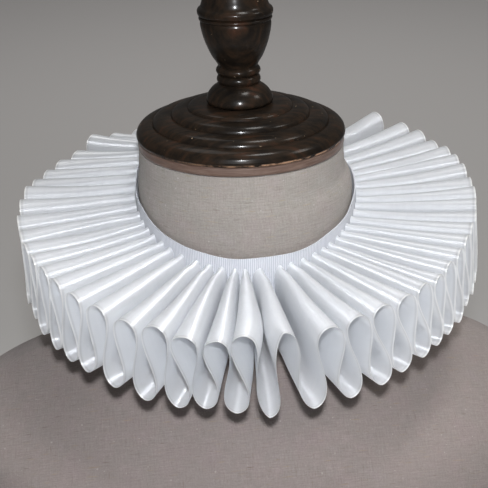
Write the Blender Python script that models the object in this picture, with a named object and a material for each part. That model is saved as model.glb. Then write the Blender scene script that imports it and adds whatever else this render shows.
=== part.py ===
"""Ruff collar on a dress form.

A long satin ribbon stands in figure-of-eight loops all round a grosgrain
neckband, and the collar sits on the neck of a linen-covered bust form with a
turned wooden neck cap.  Millimetres in the tables, metres in the meshes.
+Z is up, the wearer looks along -Y, and the origin is the middle of the
form's flat base.
"""
import math

import bmesh
import bpy

MM = 0.001

# ---------------------------------------------------------------- sizes (mm)
BAND_Z = 300.0          # middle height of the neckband's upper edge
BAND_TILT = 22.2        # the upper edge is this much lower in front, higher behind
BAND_SKEW = 0.9         # and this much higher on the wearer's left
BAND_DIP = 6.0          # it sags this much behind the wearer's left
BAND_DIP_AT, BAND_DIP_HALF = 116.0, 24.0    # where, and how far either way, degrees
BAND_IN = 62.3          # inner radius of the neckband
BAND_WALL = 1.0         # grosgrain wall
BAND_TALL = 50.0        # height of the neckband
BAND_SHOWS = 6.5        # strip of neckband above the loops
BAND_END = 179.2        # the neckband's ends, degrees from centre front
COLLAR_SHIFT = 1.8      # the collar hangs this far to the wearer's left of the neck's axis

RIBBON_WALL = 1.0       # satin ribbon wall
RIBBON_GAP = 0.4        # from the neckband to the ribbon's sewn edge
LOOP_REACH = 129.0      # radius of the ribbon's free edge
LOOP_FRONT = 3.0        # reaches this much further in front, less behind
LOOP_BACKSET = -1.0     # middle of the free edge, along Y
FOOT_REACH = 2.0        # the feet of the loops stand out this much more
FOOT_REACH_LEFT = 1.5   # and more on the wearer's left
LOOP_TALL_IN = 43.0     # loop height at the neckband
LOOP_TALL = 41.0        # loop height at the free edge
CREST_Z = -10.0         # free edge's crest height under BAND_Z
CREST_TILT = 15.0       # lower in front
CREST_DROOP = 5.0       # droops at front and back, lifts at the sides
CREST_SKEW = 4.0        # higher on the wearer's left
CREST_HALF = 6.0        # half width of an upper loop at the free edge
FOOT_HALF = 6.5         # half width of a lower loop at the free edge
HALF_IN = 2.3           # half width of either loop at the neckband
LOOP_CLEAR = 0.85       # from the middle of a wall to the middle of the space beside it
WALL_STEPS = 8          # facets from a foot to the next crest

# One row for each fold, from the wearer's right of centre back, round the
# front, to the left of centre back.  crest_at and foot_at are degrees from
# centre front, crest_rise and foot_rise are millimetres above the even line.
# The foot is the one that comes just before the crest.
FOLDS = [
    # crest_at, crest_rise, foot_at, foot_rise
    (-175.5, 0.0, -179.3, 0.0),
    (-168.0, 0.5, -171.5, 0.0),
    (-160.5, 1.0, -164.0, 0.5),
    (-152.0, -1.0, -156.0, -0.5),
    (-143.5, 0.0, -147.5, 0.0),
    (-135.5, 4.0, -139.5, 1.0),
    (-128.5, -2.0, -132.0, 0.0),
    (-121.0, -2.0, -124.5, -1.0),
    (-114.0, -2.0, -117.5, 0.5),
    (-107.0, -1.5, -110.5, 0.0),
    (-100.0, 1.0, -103.5, 0.5),
    (-92.5, 1.0, -96.0, -0.5),
    (-85.5, 0.0, -89.0, 0.0),
    (-78.5, 0.0, -82.0, -0.5),
    (-72.0, 1.0, -75.5, 0.5),
    (-66.0, 1.5, -69.0, 0.0),
    (-60.5, 1.5, -63.0, -0.5),
    (-54.5, 1.5, -56.5, -0.5),
    (-48.5, 0.5, -50.5, 0.0),
    (-41.0, 1.0, -44.5, 1.0),
    (-33.5, 0.0, -37.0, 0.0),
    (-26.5, 1.0, -29.0, 0.0),
    (-20.0, -1.0, -21.5, 1.0),
    (-13.0, -2.0, -15.5, 3.0),
    (-7.5, 1.5, -9.0, 1.0),
    (1.0, 1.5, -2.3, -2.5),
    (11.0, 0.5, 7.0, -0.5),
    (17.5, 1.5, 15.3, 0.0),
    (23.5, 2.0, 22.8, 0.5),
    (30.0, 1.0, 28.8, 1.0),
    (36.0, 0.5, 35.0, 1.5),
    (41.0, -1.0, 40.2, 1.0),
    (46.0, -0.5, 45.0, 0.5),
    (51.0, 0.0, 50.5, 0.0),
    (56.5, 0.0, 56.0, 1.0),
    (62.0, 0.0, 61.0, 0.5),
    (67.5, 0.0, 66.0, 0.0),
    (72.5, 1.0, 70.8, 0.0),
    (77.5, 1.0, 75.5, 0.5),
    (83.5, -0.5, 81.0, 0.0),
    (90.0, 1.0, 87.0, -0.5),
    (95.5, 1.5, 93.0, 0.0),
    (101.0, 1.5, 98.5, 0.5),
    (107.5, 0.0, 104.5, 0.0),
    (114.0, 1.5, 111.0, -0.5),
    (121.0, 2.5, 117.5, 0.5),
    (131.0, 5.0, 126.0, 1.0),
    (139.0, -9.0, 135.5, 0.0),
    (147.0, -4.0, 143.5, -0.5),
    (154.5, 0.0, 151.0, 0.5),
    (162.0, 1.0, 158.5, 0.0),
    (169.0, 0.0, 165.5, -0.5),
    (175.8, -0.5, 172.5, 0.0),
]
LAST_FOOT = (179.3, 0.0)

# The linen-covered form, one row for each level.  Each level is a closed
# curve, tilted with the neckline: it is `tilt` lower in front and higher
# behind than `height`.  `square` is 2 for an ellipse, more for a fuller
# corner and less for a slimmer one.  `shift` moves the level to the wearer's
# left, where the neck swells inside the neckband.
FORM_LEVELS = [
    # height, tilt, side, front, back, square, shift
    (0.0, 0.0, 138.0, 108.0, 92.0, 2.25, 0.0),
    (3.0, 0.0, 141.0, 111.0, 95.0, 2.25, 0.0),
    (30.0, 0.0, 146.0, 117.5, 98.0, 2.25, 0.0),
    (62.0, 0.0, 153.5, 126.0, 101.0, 2.25, 0.0),
    (95.0, 0.0, 163.0, 132.0, 105.0, 2.28, 0.0),
    (125.0, 0.0, 171.5, 132.5, 107.5, 2.30, 0.0),
    (147.0, 0.0, 176.0, 128.5, 106.0, 2.26, 0.0),
    (163.0, 0.5, 176.0, 124.0, 101.0, 2.12, 0.0),
    (174.0, 1.0, 170.0, 120.5, 94.0, 1.92, 0.0),
    (182.5, 1.5, 158.0, 117.0, 87.0, 1.75, 0.0),
    (190.0, 2.5, 143.0, 112.5, 81.5, 1.64, 0.0),
    (197.5, 4.5, 124.5, 106.5, 77.5, 1.60, 0.0),
    (207.0, 9.0, 104.5, 97.5, 75.0, 1.67, 0.0),
    (218.0, 15.0, 88.0, 85.5, 73.0, 1.81, 0.4),
    (230.0, 21.0, 74.0, 73.0, 70.5, 2.0, 1.2),
    (238.3, 23.0, 65.0, 65.0, 65.0, 2.0, 1.7),
    (242.7, 22.6, 61.6, 60.4, 60.6, 2.0, 1.8),
    (248.2, 21.5, 61.6, 60.0, 60.4, 2.0, 1.8),
    (268.0, 16.5, 61.5, 59.6, 60.4, 2.0, 1.8),
    (288.0, 11.5, 61.4, 59.1, 60.4, 2.0, 1.8),
    (299.0, 8.0, 61.2, 58.8, 60.2, 2.0, 1.7),
    (304.5, 6.0, 60.2, 58.6, 59.4, 2.0, 1.1),
    (308.5, 4.0, 58.7, 58.3, 58.6, 2.0, 0.3),
    (314.0, 2.0, 58.1, 58.0, 58.1, 2.0, 0.0),
    (321.6, 0.0, 57.6, 57.6, 57.6, 2.0, 0.0),
    (321.6, 0.0, 55.7, 55.7, 55.7, 2.0, 0.0),
    (326.7, 0.0, 55.7, 55.7, 55.7, 2.0, 0.0),
]
FORM_SIDES = 56

# Edge band round the top of the neck, in a rebate under the cap.
EDGE_IN, EDGE_OUT, EDGE_LOW, EDGE_HIGH = 56.0, 57.9, 321.9, 326.7

# Turned neck cap: a rolled rim and three stepped rings.
CAP_TURNING = [
    # radius, height
    (0.0, 327.0),
    (57.7, 327.0),
    (58.4, 328.0),
    (58.5, 329.4),
    (57.9, 331.4),
    (56.4, 333.2),
    (53.8, 334.5),
    (50.6, 335.3),
    (49.3, 335.0),
    (48.6, 336.6),
    (46.2, 338.4),
    (40.6, 339.4),
    (38.7, 339.1),
    (38.0, 340.6),
    (35.8, 342.3),
    (31.0, 343.3),
    (29.3, 343.0),
    (28.4, 344.2),
    (26.2, 344.9),
    (18.6, 345.0),
    (0.0, 345.0),
]
CAP_SIDES = 56

# Turned finial: domed foot, two beads, a vase, a fillet and a beaded shoulder.
FINIAL_LEAN = 0.028     # it leans this much of its height to the wearer's right
FINIAL_TURNING = [
    # radius, height
    (0.0, 345.3),
    (17.4, 345.3),
    (18.5, 346.6),
    (18.4, 348.0),
    (17.2, 351.2),
    (14.8, 353.8),
    (12.2, 355.6),
    (11.0, 356.5),
    (11.8, 357.3),
    (12.1, 358.8),
    (11.5, 360.3),
    (10.7, 361.1),
    (11.8, 362.1),
    (12.3, 363.6),
    (11.6, 365.0),
    (10.8, 365.9),
    (11.6, 368.0),
    (14.1, 371.5),
    (17.2, 379.0),
    (18.7, 385.0),
    (19.3, 389.4),
    (18.9, 391.0),
    (19.8, 391.7),
    (19.9, 392.6),
    (19.1, 393.2),
    (20.2, 394.2),
    (20.5, 395.7),
    (20.1, 397.2),
    (18.7, 398.3),
    (17.9, 400.2),
    (17.3, 403.0),
    (16.6, 406.5),
    (14.9, 409.8),
    (11.6, 412.8),
    (6.6, 414.5),
    (0.0, 415.0),
]
FINIAL_SIDES = 32

# Hook and eye on the neckband's upper strip at centre back.
FASTENER_DROP = 2.9     # below the neckband's upper edge
FASTENER_GAP = 0.35     # off the neckband
EYE_AT = -2.6           # middle of the eye along the band
EYE_RING, EYE_WIRE = 1.7, 0.45
HOOK_WIDE, HOOK_THICK = 1.6, 0.6
HOOK_PATH = [
    # along, off (from the middle of the wire on the band)
    (7.0, 0.0),
    (2.2, 0.0),
    (1.0, 1.15),
    (-1.5, 1.25),
    (-2.4, 0.95),
    (-2.7, 0.2),
]


# ------------------------------------------------------------------ helpers
def clear_scene():
    for ob in list(bpy.data.objects):
        bpy.data.objects.remove(ob, do_unlink=True)
    for me in list(bpy.data.meshes):
        if me.users == 0:
            bpy.data.meshes.remove(me)


def material(name, colour, roughness, metallic=0.0):
    mat = bpy.data.materials.new(name)
    mat.use_nodes = True
    shader = mat.node_tree.nodes["Principled BSDF"]
    shader.inputs["Base Color"].default_value = (*colour, 1.0)
    shader.inputs["Roughness"].default_value = roughness
    shader.inputs["Metallic"].default_value = metallic
    mat.diffuse_color = (*colour, 1.0)
    return mat


def add_object(name, points, faces, mat, sharp_angle=40.0):
    mesh = bpy.data.meshes.new(name)
    mesh.from_pydata([tuple(c * MM for c in p) for p in points], [], faces)
    bm = bmesh.new()
    bm.from_mesh(mesh)
    bmesh.ops.recalc_face_normals(bm, faces=bm.faces)
    bm.to_mesh(mesh)
    bm.free()
    mesh.materials.append(mat)
    ob = bpy.data.objects.new(name, mesh)
    bpy.context.scene.collection.objects.link(ob)
    mesh.shade_smooth()
    mesh.set_sharp_from_angle(angle=math.radians(sharp_angle))
    return ob


def polar(degrees, radius, height, shift=(0.0, 0.0)):
    a = math.radians(degrees)
    return (shift[0] + radius * math.sin(a), shift[1] - radius * math.cos(a), height)


# ---------------------------------------------------------- collar surfaces
def band_top(degrees):
    a = math.radians(degrees)
    dip = BAND_DIP * math.exp(-((degrees - BAND_DIP_AT) / BAND_DIP_HALF) ** 2)
    return BAND_Z - BAND_TILT * math.cos(a) + BAND_SKEW * math.sin(a) - dip


def crest_line(degrees):
    a = math.radians(degrees)
    return (BAND_Z + CREST_Z - CREST_TILT * math.cos(a)
            - CREST_DROOP * math.cos(2 * a) + CREST_SKEW * math.sin(a))


def fold_list():
    """Crests and feet in turn round the collar, each with its free angles."""
    stops = []
    for crest_at, crest_rise, foot_at, foot_rise in FOLDS:
        stops.append(dict(at=foot_at, rise=foot_rise, crest=False))
        stops.append(dict(at=crest_at, rise=crest_rise, crest=True))
    stops.append(dict(at=LAST_FOOT[0], rise=LAST_FOOT[1], crest=False))
    for i, stop in enumerate(stops):
        before = stops[i - 2]["at"] if i >= 2 else None
        after = stops[i + 2]["at"] if i + 2 < len(stops) else None
        stop["room_before"] = stop["at"] - before if before is not None else 7.0
        stop["room_after"] = after - stop["at"] if after is not None else 7.0
    return stops


def half_width(stop, side, outer):
    """Half width in mm that a loop may take towards one side."""
    room = stop["room_before"] if side < 0 else stop["room_after"]
    radius = LOOP_REACH if outer else BAND_IN + BAND_WALL + RIBBON_GAP
    full = (CREST_HALF if stop["crest"] else FOOT_HALF) if outer else HALF_IN
    return min(full, 0.5 * math.radians(room) * radius - LOOP_CLEAR)


def edge_point(a, b, t, outer):
    """Angle (degrees), height and reach of the ribbon's edge from stop a to b."""
    radius = LOOP_REACH if outer else BAND_IN + BAND_WALL + RIBBON_GAP
    ease = t * t * (3.0 - 2.0 * t)
    travel = math.radians(b["at"] - a["at"]) * radius
    bulge_a = half_width(a, 1, outer) - 0.156 * travel
    bulge_b = half_width(b, -1, outer) - 0.156 * travel
    bulge = bulge_a + (bulge_b - bulge_a) * ease
    along = travel * ease + bulge * math.sin(2.0 * math.pi * t)
    at = a["at"] + math.degrees(along / radius)
    heights = []
    for stop in (a, b):
        if outer:
            z = crest_line(stop["at"]) - (0.0 if stop["crest"] else LOOP_TALL) + stop["rise"]
        else:
            z = band_top(stop["at"]) - BAND_SHOWS - (0.0 if stop["crest"] else LOOP_TALL_IN)
        heights.append(z)
    lift = 0.5 - 0.5 * math.cos(math.pi * t)
    height = heights[0] + (heights[1] - heights[0]) * lift
    if not outer:
        return at, height, radius
    reach = LOOP_REACH + LOOP_FRONT * math.cos(math.radians(at))
    foot_share = lift if a["crest"] else 1.0 - lift
    reach += foot_share * (FOOT_REACH + FOOT_REACH_LEFT * math.sin(math.radians(at)))
    return at, height, reach


def edge_run(outer):
    """The whole edge as (angle, height, reach) from one back end to the other."""
    stops = fold_list()
    run = []
    for i in range(len(stops) - 1):
        for k in range(WALL_STEPS):
            run.append(edge_point(stops[i], stops[i + 1], k / WALL_STEPS, outer))
    run.append(edge_point(stops[-2], stops[-1], 1.0, outer))
    return run


def thicken(run, outer):
    """Both faces of the wall along an edge, offset inside the edge's own cylinder."""
    shift = (COLLAR_SHIFT, LOOP_BACKSET if outer else 0.0)
    flat = [(math.radians(at) * reach, z) for at, z, reach in run]
    upper, lower = [], []
    for i, (at, z, reach) in enumerate(run):
        p, q = flat[max(i - 1, 0)], flat[min(i + 1, len(flat) - 1)]
        dx, dz = q[0] - p[0], q[1] - p[1]
        size = math.hypot(dx, dz)
        nx, nz = -dz / size, dx / size
        for side, store in ((0.5, upper), (-0.5, lower)):
            step = side * RIBBON_WALL
            turn = math.degrees(nx * step / reach)
            store.append(polar(at + turn, reach, z + nz * step, shift))
    return upper, lower


def build_ribbon(mat):
    in_up, in_low = thicken(edge_run(False), False)
    out_up, out_low = thicken(edge_run(True), True)
    points, faces = [], []
    for a, b, c, d in zip(in_up, out_up, out_low, in_low):
        points += [a, b, c, d]
    count = len(in_up)
    for i in range(count - 1):
        p, q = 4 * i, 4 * (i + 1)
        for k in range(4):
            a, b = p + k, p + (k + 1) % 4
            c, d = q + (k + 1) % 4, q + k
            if k == 2:
                faces += [(a, b, d), (b, c, d)]
            else:
                faces += [(a, b, c), (a, c, d)]
    faces += [(0, 1, 2), (0, 2, 3)]
    e = 4 * (count - 1)
    faces += [(e, e + 2, e + 1), (e, e + 3, e + 2)]
    return add_object("ruff_ribbon", points, faces, mat, 60.0)


def build_band(mat):
    steps = 96
    points, faces = [], []
    for i in range(steps + 1):
        at = -BAND_END + 2.0 * BAND_END * i / steps
        top = band_top(at)
        for radius, z in ((BAND_IN, top), (BAND_IN + BAND_WALL, top),
                          (BAND_IN + BAND_WALL, top - BAND_TALL), (BAND_IN, top - BAND_TALL)):
            points.append(polar(at, radius, z, (COLLAR_SHIFT, 0.0)))
    for i in range(steps):
        p, q = 4 * i, 4 * (i + 1)
        for k in range(4):
            faces.append((p + k, p + (k + 1) % 4, q + (k + 1) % 4, q + k))
    faces.append((0, 1, 2, 3))
    e = 4 * steps
    faces.append((e + 3, e + 2, e + 1, e))
    return add_object("neckband", points, faces, mat)


# ------------------------------------------------------------------ fastener
def fastener_point(along, off, up):
    radius = BAND_IN + BAND_WALL + FASTENER_GAP + EYE_WIRE + off
    at = 180.0 - math.degrees(along / (BAND_IN + BAND_WALL))
    return polar(at, radius, band_top(180.0) - FASTENER_DROP + up, (COLLAR_SHIFT, 0.0))


def build_eye(mat):
    turns, sides = 20, 8
    points, faces = [], []
    for i in range(turns):
        u = 2.0 * math.pi * i / turns
        for j in range(sides):
            v = 2.0 * math.pi * j / sides
            ring = EYE_RING + EYE_WIRE * math.cos(v)
            points.append(fastener_point(EYE_AT + ring * math.cos(u),
                                         EYE_WIRE * math.sin(v), ring * math.sin(u)))
    for i in range(turns):
        for j in range(sides):
            a, b = i * sides + j, i * sides + (j + 1) % sides
            c, d = ((i + 1) % turns) * sides + (j + 1) % sides, ((i + 1) % turns) * sides + j
            faces.append((a, b, c, d))
    return add_object("back_eye", points, faces, mat)


def build_hook(mat):
    points, faces = [], []
    last = len(HOOK_PATH) - 1
    for i, (along, off) in enumerate(HOOK_PATH):
        p, q = HOOK_PATH[max(i - 1, 0)], HOOK_PATH[min(i + 1, last)]
        dx, dy = q[0] - p[0], q[1] - p[1]
        size = math.hypot(dx, dy)
        nx, ny = dy / size, -dx / size
        for face in (0.5, -0.5):
            for edge in (0.5, -0.5):
                side = edge if face > 0 else -edge
                points.append(fastener_point(along + nx * HOOK_THICK * face,
                                             off + ny * HOOK_THICK * face, HOOK_WIDE * side))
    for i in range(last):
        p, q = 4 * i, 4 * (i + 1)
        for k in range(4):
            faces.append((p + k, p + (k + 1) % 4, q + (k + 1) % 4, q + k))
    faces.append((0, 1, 2, 3))
    e = 4 * last
    faces.append((e + 3, e + 2, e + 1, e))
    return add_object("back_hook", points, faces, mat)


# ---------------------------------------------------------------- dress form
def level_point(level, angle):
    height, tilt, side, front, back, square, shift = level
    c, s = math.cos(angle), math.sin(angle)
    depth = front if c > 0 else back
    x = shift + side * math.copysign(abs(s) ** (2.0 / square), s)
    y = -depth * math.copysign(abs(c) ** (2.0 / square), c)
    return (x, y, height - tilt * c)


def closed_stack(rows, sides):
    """Faces that close a stack of rings, each of `sides` points."""
    faces = []
    for r in range(rows - 1):
        for i in range(sides):
            a, b = r * sides + i, r * sides + (i + 1) % sides
            faces.append((a, b, b + sides, a + sides))
    faces.append(tuple(range(sides - 1, -1, -1)))
    faces.append(tuple(range((rows - 1) * sides, rows * sides)))
    return faces


def build_form(mat):
    points = []
    for level in FORM_LEVELS:
        for i in range(FORM_SIDES):
            points.append(level_point(level, 2.0 * math.pi * i / FORM_SIDES))
    return add_object("form_torso", points, closed_stack(len(FORM_LEVELS), FORM_SIDES), mat, 50.0)


def build_edge(mat):
    sides = FORM_SIDES
    loop = [(EDGE_IN, EDGE_LOW), (EDGE_OUT, EDGE_LOW), (EDGE_OUT, EDGE_HIGH), (EDGE_IN, EDGE_HIGH)]
    points, faces = [], []
    for i in range(sides):
        for radius, z in loop:
            points.append(polar(360.0 * i / sides, radius, z))
    for i in range(sides):
        p, q = 4 * i, 4 * ((i + 1) % sides)
        for k in range(4):
            faces.append((p + k, p + (k + 1) % 4, q + (k + 1) % 4, q + k))
    return add_object("cap_edge", points, faces, mat)


def build_turned(name, turning, sides, mat, lean=0.0):
    inner = turning[1:-1]
    foot = turning[0][1]
    points = [polar(360.0 * i / sides, radius, z, (lean * (foot - z), 0.0))
              for radius, z in inner for i in range(sides)]
    low, high = len(points), len(points) + 1
    points += [(0.0, 0.0, foot), (lean * (foot - turning[-1][1]), 0.0, turning[-1][1])]
    faces = []
    for r in range(len(inner) - 1):
        for i in range(sides):
            a, b = r * sides + i, r * sides + (i + 1) % sides
            faces.append((a, b, b + sides, a + sides))
    top = (len(inner) - 1) * sides
    for i in range(sides):
        j = (i + 1) % sides
        faces.append((low, j, i))
        faces.append((high, top + i, top + j))
    return add_object(name, points, faces, mat, 35.0)


def main():
    clear_scene()
    satin = material("white_satin", (0.80, 0.81, 0.83), 0.32)
    grosgrain = material("white_grosgrain", (0.76, 0.77, 0.79), 0.65)
    linen = material("beige_linen", (0.46, 0.41, 0.36), 0.9)
    edging = material("brown_edging", (0.13, 0.065, 0.045), 0.6)
    wood = material("dark_turned_wood", (0.022, 0.014, 0.010), 0.3)
    wood_top = material("dark_finial_wood", (0.026, 0.015, 0.011), 0.28)
    wire = material("white_wire", (0.62, 0.62, 0.62), 0.35, 0.9)
    wire_eye = material("white_wire_eye", (0.60, 0.60, 0.60), 0.35, 0.9)
    build_ribbon(satin)
    build_band(grosgrain)
    build_hook(wire)
    build_eye(wire_eye)
    build_form(linen)
    build_edge(edging)
    build_turned("neck_cap", CAP_TURNING, CAP_SIDES, wood)
    build_turned("finial", FINIAL_TURNING, FINIAL_SIDES, wood_top, FINIAL_LEAN)


main()
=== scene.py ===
"""Looks of a ruff collar on a dress form: satin ribbon loops, grosgrain
neckband, linen bust, brown edge band, turned dark wood.  Metres, +Z up, the
form faces -Y."""
import math
import random

import bmesh
import bpy
import numpy as np
from mathutils import Vector, Matrix


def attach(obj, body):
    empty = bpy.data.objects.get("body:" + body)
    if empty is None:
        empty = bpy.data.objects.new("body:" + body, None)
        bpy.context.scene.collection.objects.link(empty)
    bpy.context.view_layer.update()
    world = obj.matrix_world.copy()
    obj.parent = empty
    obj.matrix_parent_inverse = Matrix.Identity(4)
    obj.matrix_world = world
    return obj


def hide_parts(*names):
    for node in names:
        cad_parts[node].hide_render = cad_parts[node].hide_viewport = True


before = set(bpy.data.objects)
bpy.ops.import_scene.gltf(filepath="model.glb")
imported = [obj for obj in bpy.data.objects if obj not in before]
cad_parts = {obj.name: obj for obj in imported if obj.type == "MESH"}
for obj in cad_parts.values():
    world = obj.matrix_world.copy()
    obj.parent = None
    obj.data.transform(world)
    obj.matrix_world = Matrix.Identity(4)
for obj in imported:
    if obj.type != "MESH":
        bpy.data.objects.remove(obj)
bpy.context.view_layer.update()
MM = 0.001

# ------------------------------------------------------------ collar's sizes
BAND_Z, BAND_TILT, BAND_SKEW = 300.0, 22.2, 0.9
BAND_DIP, BAND_DIP_AT, BAND_DIP_HALF = 6.0, 116.0, 24.0
BAND_IN, BAND_WALL, BAND_TALL, BAND_SHOWS, BAND_END = 62.3, 1.0, 50.0, 6.5, 179.4
COLLAR_SHIFT = 1.8
RIBBON_GAP = 0.4
LOOP_REACH, LOOP_FRONT, LOOP_BACKSET = 129.0, 3.0, -1.0
FOOT_REACH, FOOT_REACH_LEFT = 2.0, 1.5
LOOP_TALL_IN, LOOP_TALL = 43.0, 41.0
CREST_Z, CREST_TILT, CREST_DROOP, CREST_SKEW = -10.0, 15.0, 5.0, 4.0
CREST_HALF, FOOT_HALF, HALF_IN = 6.6, 5.7, 3.2
LOOP_CLEAR = 0.55
FOOT_POINT = 0.05       # how much the feet come to a point at the free edge

FOLDS = [
    # crest_at, crest_rise, foot_at, foot_rise
    (-175.5, 0.0, -179.3, 0.0),
    (-168.0, 0.5, -171.5, 0.0),
    (-160.5, 1.0, -164.0, 0.5),
    (-152.0, -1.0, -156.0, -0.5),
    (-143.5, 0.0, -147.5, 0.0),
    (-135.5, 4.0, -139.5, 1.0),
    (-128.5, -2.0, -132.0, 0.0),
    (-121.0, -2.0, -124.5, -1.0),
    (-114.0, -2.0, -117.5, 0.5),
    (-107.0, -1.5, -110.5, 0.0),
    (-100.0, 1.0, -103.5, 0.5),
    (-92.5, 1.0, -96.0, -0.5),
    (-85.5, 0.0, -89.0, 0.0),
    (-78.5, 0.0, -82.0, -0.5),
    (-72.0, 1.0, -75.5, 0.5),
    (-66.0, 1.5, -69.0, 0.0),
    (-60.5, 1.5, -63.0, -0.5),
    (-54.5, 1.5, -56.5, -0.5),
    (-48.5, 0.5, -50.5, 0.0),
    (-41.0, 1.0, -44.5, 1.0),
    (-33.5, 0.0, -37.0, 0.0),
    (-26.5, 1.0, -29.0, 0.0),
    (-20.0, -1.0, -21.5, 1.0),
    (-13.0, -2.0, -15.5, 3.0),
    (-7.5, 1.5, -9.0, 1.0),
    (1.0, 1.5, -2.3, -2.5),
    (11.0, 0.5, 7.0, -0.5),
    (17.5, 1.5, 15.3, 0.0),
    (23.5, 2.0, 22.8, 0.5),
    (30.0, 1.0, 28.8, 1.0),
    (36.0, 0.5, 35.0, 1.5),
    (41.0, -1.0, 40.2, 1.0),
    (46.0, -0.5, 45.0, 0.5),
    (51.0, 0.0, 50.5, 0.0),
    (56.5, 0.0, 56.0, 1.0),
    (62.0, 0.0, 61.0, 0.5),
    (67.5, 0.0, 66.0, 0.0),
    (72.5, 1.0, 70.8, 0.0),
    (77.5, 1.0, 75.5, 0.5),
    (83.5, -0.5, 81.0, 0.0),
    (90.0, 1.0, 87.0, -0.5),
    (95.5, 1.5, 93.0, 0.0),
    (101.0, 1.5, 98.5, 0.5),
    (107.5, 0.0, 104.5, 0.0),
    (114.0, 1.5, 111.0, -0.5),
    (121.0, 2.5, 117.5, 0.5),
    (131.0, 5.0, 126.0, 1.0),
    (139.0, -9.0, 135.5, 0.0),
    (147.0, -4.0, 143.5, -0.5),
    (154.5, 0.0, 151.0, 0.5),
    (162.0, 1.0, 158.5, 0.0),
    (169.0, 0.0, 165.5, -0.5),
    (175.8, -0.5, 172.5, 0.0),
]
LAST_FOOT = (179.3, 0.0)
# half widths that differ from the rest, at the narrow front fold
HALVES = {
    # (fold at, side, free edge): half width
    (-7.5, 1, False): 4.6, (1.0, -1, False): 4.4,
    (1.0, -1, True): 2.8, (-2.3, -1, True): 3.9, (-2.3, 1, True): 5.2,
}

WALL_STEPS = 24         # columns from a foot to the next crest
ACROSS = 19             # rows across the ribbon's width


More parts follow.
